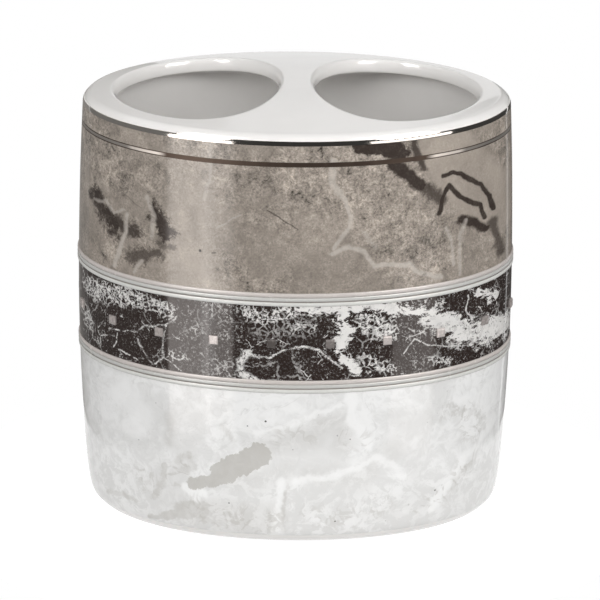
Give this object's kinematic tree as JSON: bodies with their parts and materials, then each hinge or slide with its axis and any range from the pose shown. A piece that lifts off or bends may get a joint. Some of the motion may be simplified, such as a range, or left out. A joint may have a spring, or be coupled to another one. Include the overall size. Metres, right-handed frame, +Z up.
{
  "type": "toothbrush holder",
  "caption": "Oval ceramic toothbrush holder with a shallow domed top, two large oval mouths, marble-look bands, raised beaded mouldings and small mirror squares.",
  "frame": {"origin": "middle of the resting face, at the bottom centre of the bounding box", "axes": "+X to the holder's right seen from the front, +Y to the back, so the front faces -Y, +Z up"},
  "size_m": [0.1096, 0.0746, 0.1124],
  "materials": {
    "white_glaze": "glossy white glaze",
    "metallic_lustre": "polished metallic lustre",
    "grey_marble": "glossy taupe-grey marble pattern",
    "moulding_glaze": "satin warm grey glaze",
    "dark_marble": "glossy near-black marble pattern with white veins",
    "mirror_glass": "bevelled mirror glass",
    "white_marble": "glossy white marble pattern with grey clouds"
  },
  "bodies": {
    "root": {"body_shell": "white_glaze", "top_deck": "white_glaze", "rim_lustre": "metallic_lustre", "collar_transfer": "grey_marble", "pinstripe_lustre": "metallic_lustre", "grey_marble_transfer": "grey_marble", "upper_moulding": "moulding_glaze", "dark_marble_transfer": "dark_marble", "mirror_tiles": "mirror_glass", "lower_moulding": "moulding_glaze", "white_marble_transfer": "white_marble"}
  },
  "joints": []
}
